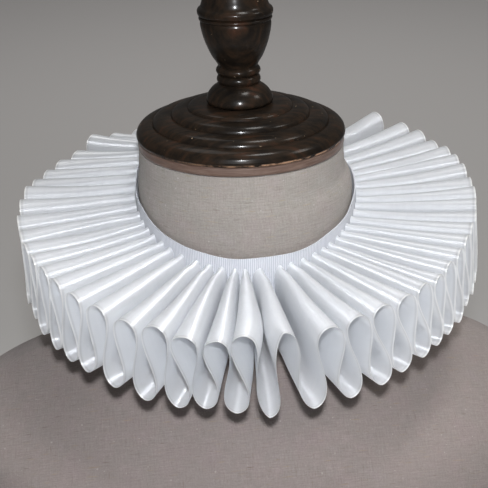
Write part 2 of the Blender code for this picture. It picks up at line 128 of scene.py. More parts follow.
# ------------------------------------------------------------------ node help
class Mat:
    """A small helper round one procedural material."""

    def __init__(self, name, colour, roughness, metallic=0.0):
        self.mat = bpy.data.materials.new(name)
        self.mat.use_nodes = True
        self.tree = self.mat.node_tree
        self.shader = self.tree.nodes["Principled BSDF"]
        self.set("Base Color", (*colour, 1.0))
        self.set("Roughness", roughness)
        self.set("Metallic", metallic)
        self.mat.diffuse_color = (*colour, 1.0)

    def set(self, socket, value):
        self.shader.inputs[socket].default_value = value

    def node(self, kind, **inputs):
        n = self.tree.nodes.new(kind)
        for key, value in inputs.items():
            if hasattr(n, key) and key not in n.inputs:
                setattr(n, key, value)
            else:
                n.inputs[key.replace("_", " ")].default_value = value
        return n

    def link(self, a, b):
        self.tree.links.new(a, b)

    def coords(self, kind="UV", scale=(1, 1, 1), rotation=(0, 0, 0), location=(0, 0, 0)):
        tc = self.tree.nodes.new("ShaderNodeTexCoord")
        mp = self.tree.nodes.new("ShaderNodeMapping")
        mp.inputs["Scale"].default_value = scale
        mp.inputs["Rotation"].default_value = rotation
        mp.inputs["Location"].default_value = location
        self.link(tc.outputs[kind], mp.inputs["Vector"])
        return mp.outputs["Vector"]

    def noise(self, vector, scale=5.0, detail=3.0, rough=0.5, distort=0.0):
        n = self.tree.nodes.new("ShaderNodeTexNoise")
        n.inputs["Scale"].default_value = scale
        n.inputs["Detail"].default_value = detail
        n.inputs["Roughness"].default_value = rough
        n.inputs["Distortion"].default_value = distort
        self.link(vector, n.inputs["Vector"])
        return n.outputs["Fac"]

    def wave(self, vector, direction="X", scale=1.0, distort=0.0, detail=2.0, dscale=1.0, profile="SIN"):
        n = self.tree.nodes.new("ShaderNodeTexWave")
        n.wave_type = "BANDS"
        n.bands_direction = direction
        n.wave_profile = profile
        n.inputs["Scale"].default_value = scale
        n.inputs["Distortion"].default_value = distort
        n.inputs["Detail"].default_value = detail
        n.inputs["Detail Scale"].default_value = dscale
        self.link(vector, n.inputs["Vector"])
        return n.outputs["Fac"]

    def ramp(self, fac, stops, mode="LINEAR"):
        n = self.tree.nodes.new("ShaderNodeValToRGB")
        n.color_ramp.interpolation = mode
        el = n.color_ramp.elements
        while len(el) > 1:
            el.remove(el[-1])
        el[0].position = stops[0][0]
        el[0].color = stops[0][1] if len(stops[0][1]) == 4 else (*stops[0][1], 1.0)
        for pos, col in stops[1:]:
            e = el.new(pos)
            e.color = col if len(col) == 4 else (*col, 1.0)
        self.link(fac, n.inputs["Fac"])
        return n.outputs["Color"]

    def math(self, op, a, b=0.0, c=None, clamp=False):
        n = self.tree.nodes.new("ShaderNodeMath")
        n.operation = op
        n.use_clamp = clamp
        for i, v in enumerate((a, b, c)):
            if v is None:
                continue
            if isinstance(v, (int, float)):
                n.inputs[i].default_value = v
            else:
                self.link(v, n.inputs[i])
        return n.outputs[0]

    def mix(self, fac, a, b, blend="MIX"):
        n = self.tree.nodes.new("ShaderNodeMix")
        n.data_type = "RGBA"
        n.blend_type = blend
        for name, v in (("Factor", fac), ("A", a), ("B", b)):
            sock = [s for s in n.inputs if s.name == name and (s.type == "RGBA" or name == "Factor")]
            sock = [s for s in sock if s.enabled][0]
            if isinstance(v, (int, float)):
                sock.default_value = v
            elif isinstance(v, tuple):
                sock.default_value = v if len(v) == 4 else (*v, 1.0)
            else:
                self.link(v, sock)
        return [s for s in n.outputs if s.enabled][0]

    def map(self, value, a0, a1, b0, b1):
        n = self.tree.nodes.new("ShaderNodeMapRange")
        n.inputs["From Min"].default_value = a0
        n.inputs["From Max"].default_value = a1
        n.inputs["To Min"].default_value = b0
        n.inputs["To Max"].default_value = b1
        self.link(value, n.inputs["Value"])
        return n.outputs["Result"]

    def bump(self, height, distance, strength=1.0, normal=None):
        n = self.tree.nodes.new("ShaderNodeBump")
        n.inputs["Strength"].default_value = strength
        n.inputs["Distance"].default_value = distance
        self.link(height, n.inputs["Height"])
        if normal is not None:
            self.link(normal, n.inputs["Normal"])
        return n.outputs["Normal"]

    def thin(self, share, colour):
        """Lets a share of the light through to the other side, as thin cloth does."""
        through = self.tree.nodes.new("ShaderNodeBsdfTranslucent")
        through.inputs["Color"].default_value = (*colour, 1.0)
        both = self.tree.nodes.new("ShaderNodeMixShader")
        both.inputs[0].default_value = share
        self.link(self.shader.outputs[0], both.inputs[1])
        self.link(through.outputs[0], both.inputs[2])
        self.link(both.outputs[0], self.tree.nodes["Material Output"].inputs["Surface"])

    def to(self, socket, output):
        self.link(output, self.shader.inputs[socket])


def make_satin():
    """Glossy face: its threads run along the ribbon (U), so the gloss is drawn
    out across them into a narrow streak along each crest."""
    m = Mat("satin_face", (0.90, 0.905, 0.925), 0.40, 0.22)
    m.set("Specular IOR Level", 1.0)
    m.set("Anisotropic", 1.0)
    m.set("Anisotropic Rotation", 0.25)
    m.set("Sheen Weight", 0.06)
    m.set("Sheen Roughness", 0.4)
    tangent = m.tree.nodes.new("ShaderNodeTangent")
    tangent.direction_type = "UV_MAP"
    tangent.uv_map = "UVMap"
    m.to("Tangent", tangent.outputs["Tangent"])
    threads = m.wave(m.coords("UV"), "Y", scale=1048.0, distort=0.8, detail=1.0, dscale=3.0)
    fine = m.noise(m.coords("UV", scale=(110, 2600, 1)), scale=1.0, detail=3.0, rough=0.6)
    streak = m.noise(m.coords("UV", scale=(35, 420, 1), location=(3, 1, 0)), scale=1.0, detail=4.0, rough=0.65)
    cloudy = m.noise(m.coords("UV", scale=(30, 30, 1)), scale=1.0, detail=3.0)
    tone = m.math("MULTIPLY_ADD", streak, 0.6, m.math("MULTIPLY", cloudy, 0.4))
    base = m.ramp(tone, [(0.30, (0.775, 0.79, 0.828)), (0.50, (0.82, 0.835, 0.868)), (0.72, (0.865, 0.877, 0.90))])
    # woven selvedge at the free edge: a slightly greyer line just inside it, then a paler rim, a painted highlight
    # where the edge catches the light
    across = m.tree.nodes.new("ShaderNodeSeparateXYZ")
    m.link(m.coords("UV"), across.inputs[0])
    far = m.math("SUBTRACT", 0.067, across.outputs["Y"])
    line = m.math("MULTIPLY", m.map(far, 0.0008, 0.0011, 0.0, 1.0), m.map(far, 0.0016, 0.0024, 1.0, 0.0))
    base = m.mix(m.math("MULTIPLY", line, 0.8), base, (0.60, 0.605, 0.62))
    # painted highlight: the last strip at the free edge is painted near white
    base = m.mix(m.map(far, 0.0006, 0.0009, 1.0, 0.0), base, (0.97, 0.965, 0.955))
    m.to("Base Color", base)
    m.to("Roughness", m.map(m.math("MULTIPLY_ADD", fine, 0.6, m.math("MULTIPLY", streak, 0.4)), 0.3, 0.7, 0.29, 0.36))
    n1 = m.bump(threads, 0.00011, 1.0)
    n2 = m.bump(fine, 0.00007, 0.6, n1)
    n3 = m.bump(streak, 0.00018, 0.45, n2)
    m.to("Normal", m.bump(cloudy, 0.0005, 0.35, n3))
    m.thin(0.42, (0.915, 0.93, 0.945))
    return m.mat


def make_grosgrain():
    """Upright ribs across the band, 1 mm apart."""
    # painted shade: the white band's base is painted grey, for the shade it sits in behind the loops
    m = Mat("grosgrain", (0.54, 0.55, 0.59), 0.6)
    m.set("Sheen Weight", 0.2)
    m.set("Sheen Roughness", 0.4)
    ribs = m.wave(m.coords("UV"), "X", scale=310.0, distort=0.3, detail=1.0, dscale=2.0)
    cross = m.wave(m.coords("UV"), "Y", scale=900.0, distort=2.0, detail=1.0)
    cloudy = m.noise(m.coords("UV", scale=(120, 120, 1)), scale=1.0, detail=4.0, rough=0.6)
    # painted shade: the grooves between the ribs are painted dark blue-grey
    m.to("Base Color", m.mix(m.map(ribs, 0.0, 0.6, 0.75, 0.0), m.ramp(cloudy, [(0.3, (0.515, 0.525, 0.565)), (0.7, (0.57, 0.58, 0.61))]), (0.27, 0.285, 0.335)))
    m.to("Roughness", m.map(cloudy, 0.3, 0.7, 0.52, 0.68))
    n1 = m.bump(ribs, 0.00016, 1.0)
    n2 = m.bump(cross, 0.00003, 0.5, n1)
    m.to("Normal", m.bump(cloudy, 0.0002, 0.3, n2))
    return m.mat


def make_linen():
    """Plain weave of uneven threads, with slubs both ways, a few straw-coloured
    and dark ones, pale specks and a slightly mottled tone; painted shade makes it
    darker and a little pinker from the neck down to the chest."""
    m = Mat("linen", (0.3382, 0.2964, 0.2774), 0.9)
    m.set("Sheen Weight", 0.12)
    m.set("Sheen Roughness", 0.6)
    m.set("Specular IOR Level", 0.25)
    weft = m.wave(m.coords("UV"), "Y", scale=520.0, distort=2.4, detail=2.0, dscale=1.6)
    warp = m.wave(m.coords("UV", location=(0.3, 0.7, 0)), "X", scale=480.0, distort=2.4, detail=2.0, dscale=1.6)
    weave = m.math("MULTIPLY", weft, warp)
    slub_h = m.noise(m.coords("UV", scale=(110, 1500, 1)), scale=1.0, detail=3.0, rough=0.62)
    slub_v = m.noise(m.coords("UV", scale=(1500, 120, 1), location=(5, 2, 0)), scale=1.0, detail=3.0, rough=0.62)
    slubs = m.math("ADD", m.math("MULTIPLY", slub_h, 0.55), m.math("MULTIPLY", slub_v, 0.45))
    patch = m.noise(m.coords("UV", scale=(22, 22, 1), location=(1, 8, 0)), scale=1.0, detail=3.0, rough=0.6)
    tint = m.noise(m.coords("UV", scale=(60, 60, 1), location=(6, 4, 0)), scale=1.0, detail=3.0, rough=0.6)
    grain = m.noise(m.coords("UV", scale=(1100, 1100, 1)), scale=1.0, detail=2.0, rough=0.7)
    base = m.ramp(slubs, [(0.36, (0.2432, 0.2067, 0.1885)), (0.47, (0.3268, 0.2873, 0.266)), (0.55, (0.3686, 0.3268, 0.304)), (0.66, (0.4484, 0.4104, 0.3876))])
    base = m.mix(0.30, base, m.ramp(tint, [(0.34, (0.3724, 0.304, 0.2926)), (0.47, (0.3572, 0.3192, 0.2812)), (0.58, (0.3192, 0.3116, 0.266)), (0.70, (0.3648, 0.3268, 0.3192))]))
    base = m.mix(m.map(patch, 0.38, 0.62, 0.0, 0.35), base, (0.304, 0.2751, 0.2508))
    base = m.mix(m.map(grain, 0.35, 0.65, 0.34, 0.0), base, (0.2052, 0.1748, 0.1444))
    # straw-coloured and brown slubs, across and lengthwise
    rare = m.noise(m.coords("UV", scale=(90, 1700, 1), location=(9, 3, 0)), scale=1.0, detail=1.0, rough=0.5)
    base = m.mix(m.map(rare, 0.69, 0.75, 0.0, 0.6), base, (0.38, 0.2888, 0.152))
    rare_dark = m.noise(m.coords("UV", scale=(120, 1700, 1), location=(2, 17, 0)), scale=1.0, detail=1.0, rough=0.5)
    base = m.mix(m.map(rare_dark, 0.71, 0.77, 0.0, 0.7), base, (0.1444, 0.1064, 0.076))
    rare_v = m.noise(m.coords("UV", scale=(1700, 120, 1), location=(4, 11, 0)), scale=1.0, detail=1.0, rough=0.5)
    base = m.mix(m.map(rare_v, 0.70, 0.76, 0.0, 0.55), base, (0.1976, 0.152, 0.114))
    specks = m.noise(m.coords("UV", scale=(520, 520, 1), location=(7, 7, 0)), scale=1.0, detail=0.0)
    base = m.mix(m.map(specks, 0.81, 0.86, 0.0, 0.5), base, (0.532, 0.5092, 0.4712))
    # painted shade: from the top of the neck down to the chest the linen is painted darker and a little pinker, for
    # the shade under the ruff
    height = m.tree.nodes.new("ShaderNodeSeparateXYZ")
    m.link(m.coords("Object"), height.inputs[0])
    painted_shade_below_neck = m.map(height.outputs["Z"], 0.225, 0.305, 1.0, 0.0)
    base = m.mix(painted_shade_below_neck, m.mix(1.0, base, (0.80, 0.81, 0.81), "MULTIPLY"), m.mix(1.0, base, (0.645, 0.61, 0.632), "MULTIPLY"))
    m.to("Base Color", base)
    m.to("Roughness", m.map(slubs, 0.3, 0.7, 0.82, 0.95))
    n1 = m.bump(weave, 0.00014, 0.8)
    n2 = m.bump(slubs, 0.00030, 0.7, n1)
    n3 = m.bump(rare, 0.0005, 0.35, n2)
    m.to("Normal", m.bump(patch, 0.003, 0.2, n3))
    return m.mat


def make_edging():
    """Brown tape: low sheen, paler in streaks along its grain."""
    m = Mat("edging", (0.156, 0.0936, 0.0663), 0.6)
    m.set("Sheen Weight", 0.1)
    m.set("Specular IOR Level", 0.4)
    grain = m.noise(m.coords("UV", scale=(90, 900, 1)), scale=1.0, detail=4.0, rough=0.6)
    blotch = m.noise(m.coords("UV", scale=(45, 120, 1)), scale=1.0, detail=3.0, rough=0.6)
    base = m.ramp(blotch, [(0.32, (0.060, 0.030, 0.021)), (0.5, (0.092, 0.053, 0.038)), (0.68, (0.135, 0.086, 0.066))])
    m.to("Base Color", m.mix(m.map(grain, 0.42, 0.7, 0.0, 0.5), base, (0.165, 0.118, 0.095)))
    m.to("Roughness", m.map(grain, 0.3, 0.7, 0.50, 0.72))
    m.to("Normal", m.bump(grain, 0.0003, 0.6, m.bump(blotch, 0.0006, 0.5)))
    return m.mat


def make_wood():
    """Near-black stain and varnish over turned wood: red-brown and olive-brown
    show through, and small chips show paler wood on the edges."""
    m = Mat("dark_wood", (0.0128, 0.0088, 0.0064), 0.42)
    m.set("Specular IOR Level", 0.04)
    m.set("Coat Weight", 0.17)
    m.set("Coat Roughness", 0.17)
    rings = m.noise(m.coords("Object", scale=(28, 28, 520)), scale=1.0, detail=4.0, rough=0.6, distort=0.4)
    grain = m.noise(m.coords("Object", scale=(60, 420, 90)), scale=1.0, detail=5.0, rough=0.65, distort=0.6)
    blotch = m.noise(m.coords("Object", scale=(70, 70, 70)), scale=1.0, detail=4.0, rough=0.62)
    mixv = m.math("ADD", m.math("MULTIPLY", grain, 0.5), m.math("MULTIPLY", blotch, 0.5))
    base = m.ramp(mixv, [(0.36, (0.0045, 0.0035, 0.003)), (0.47, (0.0085, 0.0062, 0.0045)), (0.55, (0.0155, 0.0098, 0.0063)), (0.63, (0.026, 0.0125, 0.0075)), (0.74, (0.055, 0.025, 0.0145))])
    chips = m.noise(m.coords("Object", scale=(420, 420, 560), location=(3, 5, 1)), scale=1.0, detail=2.0, rough=0.55)
    chipped = m.map(chips, 0.735, 0.765, 0.0, 1.0)
    base = m.mix(m.math("MULTIPLY", chipped, 0.8), base, (0.272, 0.192, 0.128))
    place = m.tree.nodes.new("ShaderNodeSeparateXYZ")
    m.link(m.coords("Object"), place.inputs[0])
    low = m.map(place.outputs["Z"], 0.3282, 0.3287, 1.0, 0.0)
    rub = m.noise(m.coords("Object", scale=(160, 160, 160), location=(8, 2, 5)), scale=1.0, detail=4.0, rough=0.65)
    worn = m.math("MULTIPLY", low, m.math("MULTIPLY", m.map(rub, 0.40, 0.54, 0.0, 1.0), m.map(place.outputs["X"], -0.045, 0.02, 0.15, 1.0)))
    base = m.mix(worn, base, (0.36, 0.215, 0.135))
    m.to("Base Color", base)
    m.to("Roughness", m.math("MULTIPLY_ADD", chipped, 0.4, m.map(rings, 0.3, 0.7, 0.32, 0.46)))
    n1 = m.bump(rings, 0.00018, 0.5)
    n2 = m.bump(grain, 0.00015, 0.45, n1)
    n3 = m.bump(m.math("MULTIPLY", chipped, -1.0), 0.00015, 0.6, n2)
    m.to("Normal", m.bump(blotch, 0.0007, 0.3, n3))
    return m.mat


def make_wire():
    m = Mat("white_enamel", (0.78, 0.78, 0.78), 0.32)
    chips = m.noise(m.coords("Object", scale=(900, 900, 900)), scale=1.0, detail=3.0, rough=0.7)
    m.to("Base Color", m.ramp(chips, [(0.34, (0.46, 0.45, 0.43)), (0.40, (0.76, 0.76, 0.76)), (0.8, (0.82, 0.82, 0.82))]))
    m.to("Roughness", m.map(chips, 0.3, 0.7, 0.5, 0.26))
    m.to("Normal", m.bump(chips, 0.0001, 0.3))
    return m.mat


def make_floor():
    m = Mat("floor", (0.60, 0.58, 0.57), 0.9)
    soft = m.noise(m.coords("Object", scale=(1.4, 1.4, 1.4)), scale=1.0, detail=3.0)
    place = m.tree.nodes.new("ShaderNodeSeparateXYZ")
    m.link(m.coords("Object"), place.inputs[0])
    # painted light: the floor's tone changes with distance from the front, darkest just behind the form and palest far
    # back, to even out the lamps' falloff
    paler = m.ramp(m.map(place.outputs["Y"], -0.2, 2.2, 0.0, 1.0), [
        (0.0, (0.41, 0.401, 0.394)), (0.25, (0.318, 0.310, 0.304)), (0.42, (0.345, 0.335, 0.330)), (1.0, (0.475, 0.462, 0.459))])
    m.to("Base Color", m.mix(m.map(soft, 0.3, 0.7, 0.0, 0.06), paler, (0.4, 0.4, 0.4)))
    return m.mat


SATIN, GROSGRAIN = make_satin(), make_grosgrain()
LINEN, EDGING, WOOD, WIRE = make_linen(), make_edging(), make_wood(), make_wire()


# ---------------------------------------------------------------- mesh helper
def mesh_object(name, points, faces, mats, uvs=None, mat_index=None, smooth=True):
    me = bpy.data.meshes.new(name)
    me.from_pydata([tuple(p) for p in points], [], faces)
    for mat in mats:
        me.materials.append(mat)
    if mat_index is not None:
        me.polygons.foreach_set("material_index", mat_index)
    if uvs is not None:
        layer = me.uv_layers.new(name="UVMap")
        flat = np.zeros((len(me.loops), 2), np.float32)
        loop_vertex = np.zeros(len(me.loops), np.int32)
        me.loops.foreach_get("vertex_index", loop_vertex)
        if callable(uvs):
            flat[:] = uvs(me, loop_vertex)
        else:
            flat[:] = np.asarray(uvs, np.float32)[loop_vertex]
        layer.data.foreach_set("uv", flat.ravel())
    if smooth:
        me.shade_smooth()
    me.update()
    ob = bpy.data.objects.new(name, me)
    bpy.context.scene.collection.objects.link(ob)
    return ob


# ---------------------------------------------------------------- satin ruff
def band_top(degrees):
    a = np.radians(degrees)
    dip = BAND_DIP * np.exp(-((degrees - BAND_DIP_AT) / BAND_DIP_HALF) ** 2)
    return BAND_Z - BAND_TILT * np.cos(a) + BAND_SKEW * np.sin(a) - dip


def crest_line(degrees):
    a = math.radians(degrees)
    return (BAND_Z + CREST_Z - CREST_TILT * math.cos(a)
            - CREST_DROOP * math.cos(2 * a) + CREST_SKEW * math.sin(a))


def fold_list():
    stops = []
    for crest_at, crest_rise, foot_at, foot_rise in FOLDS:
        stops.append(dict(at=foot_at, rise=foot_rise, crest=False))
        stops.append(dict(at=crest_at, rise=crest_rise, crest=True))
    stops.append(dict(at=LAST_FOOT[0], rise=LAST_FOOT[1], crest=False))
    for i, stop in enumerate(stops):
        before = stops[i - 2]["at"] if i >= 2 else None
        after = stops[i + 2]["at"] if i + 2 < len(stops) else None
        stop["room_before"] = stop["at"] - before if before is not None else 7.0
        stop["room_after"] = after - stop["at"] if after is not None else 7.0
    return stops


def half_width(stop, side, outer):
    if (stop["at"], side, outer) in HALVES:
        return HALVES[(stop["at"], side, outer)]
    room = stop["room_before"] if side < 0 else stop["room_after"]
    radius = LOOP_REACH if outer else BAND_IN + BAND_WALL + RIBBON_GAP
    full = (CREST_HALF if stop["crest"] else FOOT_HALF) if outer else HALF_IN
    return min(full, 0.5 * math.radians(room) * radius - LOOP_CLEAR)


def edge_point(a, b, t, outer):
    radius = LOOP_REACH if outer else BAND_IN + BAND_WALL + RIBBON_GAP
    ease = t * t * (3.0 - 2.0 * t)
    travel = math.radians(b["at"] - a["at"]) * radius
    bulge_a = half_width(a, 1, outer) - 0.156 * travel
    bulge_b = half_width(b, -1, outer) - 0.156 * travel
    bulge = bulge_a + (bulge_b - bulge_a) * ease
    along = travel * ease + bulge * math.sin(2.0 * math.pi * t)
    at = a["at"] + math.degrees(along / radius)
    heights = []
    for stop in (a, b):
        if outer:
            z = crest_line(stop["at"]) - (0.0 if stop["crest"] else LOOP_TALL) + stop["rise"]
        else:
            z = float(band_top(stop["at"])) - BAND_SHOWS - (0.0 if stop["crest"] else LOOP_TALL_IN)
        heights.append(z)
    lift = 0.5 - 0.5 * math.cos(math.pi * t)
    if outer:
        sharp = math.sin(0.5 * math.pi * t) if b["crest"] else 1.0 - math.cos(0.5 * math.pi * t)
        rise = lift + FOOT_POINT * (sharp - lift)
    else:
        rise = lift
    height = heights[0] + (heights[1] - heights[0]) * rise
    if not outer:
        return at, height, radius
    reach = LOOP_REACH + LOOP_FRONT * math.cos(math.radians(at))
    foot_share = lift if a["crest"] else 1.0 - lift
    reach += foot_share * (FOOT_REACH + FOOT_REACH_LEFT * math.sin(math.radians(at)))
    return at, height, reach


def edge_run(outer):
    stops = fold_list()
    run, crestness, fold = [], [], []
    for i in range(len(stops) - 1):
        for k in range(WALL_STEPS):
            t = k / WALL_STEPS
            run.append(edge_point(stops[i], stops[i + 1], t, outer))
            lift = 0.5 - 0.5 * math.cos(math.pi * t)
            crestness.append(1.0 - lift if stops[i]["crest"] else lift)
            fold.append((i + t) / 2.0)
    run.append(edge_point(stops[-2], stops[-1], 1.0, outer))
    crestness.append(0.0)
    fold.append((len(stops) - 1) / 2.0)
    return run, np.array(crestness), np.array(fold)


def polar_points(run, shift):
    a = np.radians([r[0] for r in run])
    z = np.array([r[1] for r in run])
    r = np.array([r[2] for r in run])
    return np.stack([shift[0] + r * np.sin(a), shift[1] - r * np.cos(a), z], -1)


def soft_wave(x, seed, count=7, low=0.5, high=4.0):
    """A smooth, repeatable, uneven wave along x, about -1 to 1."""
    rnd = random.Random(seed)
    total = np.zeros_like(x)
    for _ in range(count):
        f = rnd.uniform(low, high)
        total += rnd.uniform(0.4, 1.0) * np.sin(x * f + rnd.uniform(0, 2 * math.pi))
    return total / count ** 0.5 / 0.75


def grid_normals(grid):
    du = np.gradient(grid, axis=0)
    dv = np.gradient(grid, axis=1)
    n = np.cross(du, dv)
    n /= np.maximum(np.linalg.norm(n, axis=-1, keepdims=True), 1e-9)
    return n


def build_ruff():
    run_in, crest, fold = edge_run(False)
    run_out, _, _ = edge_run(True)
    inner = polar_points(run_in, (COLLAR_SHIFT, 0.0))
    outer = polar_points(run_out, (COLLAR_SHIFT, LOOP_BACKSET))
    # rows across the width, closer together near both edges
    s = np.linspace(0.0, 1.0, ACROSS)
    v = 0.5 - 0.5 * np.cos(np.pi * s)
    v = 0.55 * v + 0.45 * s
    grid = inner[:, None, :] + (outer - inner)[:, None, :] * v[None, :, None]
    at = np.radians(np.array([r[0] for r in run_out]))
    out_dir = np.stack([np.sin(at), -np.cos(at), 0 * at], -1)
    side_dir = np.stack([np.cos(at), np.sin(at), 0 * at], -1)
    mid = np.sin(np.pi * v)
    # the crests dip a little between the band and the free edge, each in its own measure
    dip = 0.55 + 0.45 * soft_wave(fold * 2.2, 3)
    grid[:, :, 2] -= (crest * dip)[:, None] * mid[None, :] * 0.9
    # a slow sideways sway of each fold
    sway = soft_wave(fold * 1.7, 11)
    grid += side_dir[:, None, :] * (sway[:, None] * mid[None, :] * 0.55)[..., None]
    # the folds are pulled up to the band by the stitches, and turned a little
    # sideways there
    near = np.exp(-v * 66.0 / 2.2)
    grid[:, :, 2] += crest[:, None] ** 3 * near[None, :] * 1.3
    turned = -np.tanh((np.degrees(at) + 8.0) / 6.0) * (1.0 + 0.2 * soft_wave(fold * 1.9, 13))
    kink = np.clip(1.0 - v / 0.13, 0.0, 1.0)
    kink = kink * kink * (3.0 - 2.0 * kink)
    grid += side_dir[:, None, :] * (turned[:, None] * kink[None, :] * 1.8)[..., None]
    # the two flanks over the narrow front fold lean together and close it
    for place, much, peak in ((24.62, 3.55, 1.9), (25.38, -3.6, 1.9), (24.25, 4.2, 1.2), (23.25, 1.8, 1.2),
                              (30.65, -0.6, 1.2), (31.36, 0.6, 1.2)):
        lean = np.exp(-((fold - place) / 0.11) ** 2)
        grid += side_dir[:, None, :] * (lean[:, None] * np.sin(np.pi * v ** peak)[None, :] * much)[..., None]
    # the raised loop behind the wearer's left shoulder sags in the middle
    sag = np.exp(-((np.degrees(at) - 131.0) / 2.6) ** 2) * crest ** 2
    grid[:, :, 2] -= (sag[:, None] * mid[None, :] ** 1.5) * 3.5
    # small unevenness of the hand-set loops
    free = v ** 2
    grid[:, :, 2] += (soft_wave(fold * 5.0, 5) * 0.35)[:, None] * free[None, :]
    grid += out_dir[:, None, :] * ((soft_wave(fold * 3.1, 8) * 0.5)[:, None] * free[None, :])[..., None]
    normal = grid_normals(grid)
    # soft dents along the walls
    rnd = random.Random(21)
    dent = np.zeros(grid.shape[:2])
    for _ in range(90):
        f0, v0 = rnd.uniform(0, fold[-1]), rnd.uniform(0.12, 0.95)
        wf, wv = rnd.uniform(0.07, 0.2), rnd.uniform(0.06, 0.22)
        dent += rnd.uniform(-0.28, 0.28) * np.exp(-((fold[:, None] - f0) / wf) ** 2 - ((v[None, :] - v0) / wv) ** 2)
    grid += normal * dent[..., None]
    # one sheet of satin, 0.1 mm thin in life, with its glossy face up on the crests
    n, m = grid.shape[:2]
    length = np.concatenate([[0.0], np.cumsum(np.linalg.norm(np.diff(grid[:, m // 2], axis=0), axis=1))]) * MM
    uv = np.stack(np.broadcast_arrays(length[:, None], (v * 0.067)[None, :]), -1).reshape(-1, 2)
    flip = np.mean(grid_normals(grid)[crest > 0.99][:, :, 2]) < 0
    faces = []
    for i in range(n - 1):
        for j in range(m - 1):
            a, b = i * m + j, (i + 1) * m + j
            quad = (a, b, b + 1, a + 1)
            faces.append(quad[::-1] if flip else quad)
    ob = mesh_object("ruff_satin", grid.reshape(-1, 3) * MM, faces, [SATIN], uv)
    return ob, length[-1]


# ------------------------------------------------------------------ neckband
def build_neckband():
    steps, rows = 360, 14
    at = np.linspace(-BAND_END, BAND_END, steps + 1)
    top = band_top(at)
    wavy = soft_wave(np.radians(at) * 3.0, 31) * 0.35
    points, uvs = [], []
    prof = []
    # outer face down, inner face up: the upper edge is a little rounded, the
    # strip that shows leans out between the stitches
    for k in range(rows + 1):
        f = k / rows
        prof.append((BAND_WALL, -f))
    for k in range(rows + 1):
        f = 1.0 - k / rows
        prof.append((0.25, -f))
    span = BAND_TALL
    for i, a in enumerate(np.radians(at)):
        for wall, f in prof:
            d = f * span
            show = max(0.0, 1.0 + d / (BAND_SHOWS + 2.0))
            lean = 0.28 * soft_wave(np.array([a * 7.0]), 17)[0] * show
            r = BAND_IN + wall - 0.25 * (wall > 0.5) + lean * 0.5
            z = top[i] + d + (wavy[i] * show - (0.12 if abs(d) < 0.01 else 0.0))
            points.append((COLLAR_SHIFT + r * math.sin(a), -r * math.cos(a), z))
            uvs.append((a * BAND_IN * MM, d * MM))
    per = len(prof)
    faces = []
    for i in range(steps):
        p, q = per * i, per * (i + 1)
        for k in range(per):
            k2 = (k + 1) % per
            faces.append((p + k, p + k2, q + k2, q + k))
    faces.append(tuple(range(per)))
    e = per * steps
    faces.append(tuple(e + k for k in range(per - 1, -1, -1)))
    ob = mesh_object("neckband_grosgrain", np.array(points) * MM, faces, [GROSGRAIN], uvs)
    bm = bmesh.new()
    bm.from_mesh(ob.data)
    bmesh.ops.recalc_face_normals(bm, faces=bm.faces)
    bm.to_mesh(ob.data)
    bm.free()
    ob.data.set_sharp_from_angle(angle=math.radians(60))
    return ob


# ---------------------------------------------------------------- dress form
FORM_LEVELS = [
    # height, tilt, side, front, back, square, shift
    (0.0, 0.0, 138.0, 108.0, 92.0, 2.25, 0.0),
    (3.0, 0.0, 141.0, 111.0, 95.0, 2.25, 0.0),
    (30.0, 0.0, 146.0, 117.5, 98.0, 2.25, 0.0),
    (62.0, 0.0, 153.5, 126.0, 101.0, 2.25, 0.0),
    (95.0, 0.0, 163.0, 132.0, 105.0, 2.28, 0.0),
    (125.0, 0.0, 171.5, 132.5, 107.5, 2.30, 0.0),
    (147.0, 0.0, 176.0, 128.5, 106.0, 2.26, 0.0),
    (163.0, 0.5, 176.0, 124.0, 101.0, 2.12, 0.0),
    (174.0, 1.0, 170.0, 120.5, 94.0, 1.92, 0.0),
    (182.5, 1.5, 158.0, 117.0, 87.0, 1.75, 0.0),
    (190.0, 2.5, 143.0, 112.5, 81.5, 1.64, 0.0),
    (197.5, 4.5, 124.5, 106.5, 77.5, 1.60, 0.0),
    (207.0, 9.0, 104.5, 97.5, 75.0, 1.67, 0.0),
    (218.0, 15.0, 88.0, 85.5, 73.0, 1.81, 0.4),
    (230.0, 21.0, 74.0, 73.0, 70.5, 2.0, 1.2),
    (238.3, 23.0, 65.0, 65.0, 65.0, 2.0, 1.7),
    (242.7, 22.6, 61.6, 60.4, 60.6, 2.0, 1.8),
    (248.2, 21.5, 61.6, 60.0, 60.4, 2.0, 1.8),
    (268.0, 16.5, 61.5, 59.6, 60.4, 2.0, 1.8),
    (288.0, 11.5, 61.4, 59.1, 60.4, 2.0, 1.8),
    (299.0, 8.0, 61.2, 58.8, 60.2, 2.0, 1.7),
    (304.5, 6.0, 60.2, 58.6, 59.4, 2.0, 1.1),
    (308.5, 4.0, 58.7, 58.3, 58.6, 2.0, 0.3),
    (314.0, 2.0, 58.1, 58.0, 58.1, 2.0, 0.0),
    (321.6, 0.0, 57.6, 57.6, 57.6, 2.0, 0.0),
]
NECK_PLUG = [
    (321.6, 0.0, 55.7, 55.7, 55.7, 2.0, 0.0),
    (326.7, 0.0, 55.7, 55.7, 55.7, 2.0, 0.0),
]


def smooth_rows(table, per):
    """Rows between the table's rows, on a gentle cubic through them."""
    t = np.array(table, float)
    slope = np.zeros_like(t)
    slope[1:-1] = 0.5 * (t[2:] - t[:-2])
    slope[0], slope[-1] = t[1] - t[0], t[-1] - t[-2]
    # no overshoot: limit each slope by its neighbours
    for i in range(1, len(t) - 1):
        d0, d1 = t[i] - t[i - 1], t[i + 1] - t[i]
        lim = 3.0 * np.minimum(np.abs(d0), np.abs(d1))
        slope[i] = np.where(d0 * d1 <= 0, 0.0, np.clip(slope[i], -lim, lim))
    rows = []
    for i in range(len(t) - 1):
        for k in range(per):
            u = k / per
            h00, h10 = 2 * u**3 - 3 * u**2 + 1, u**3 - 2 * u**2 + u
            h01, h11 = -2 * u**3 + 3 * u**2, u**3 - u**2
            rows.append(h00 * t[i] + h10 * slope[i] + h01 * t[i + 1] + h11 * slope[i + 1])
    rows.append(t[-1])
    return np.array(rows)


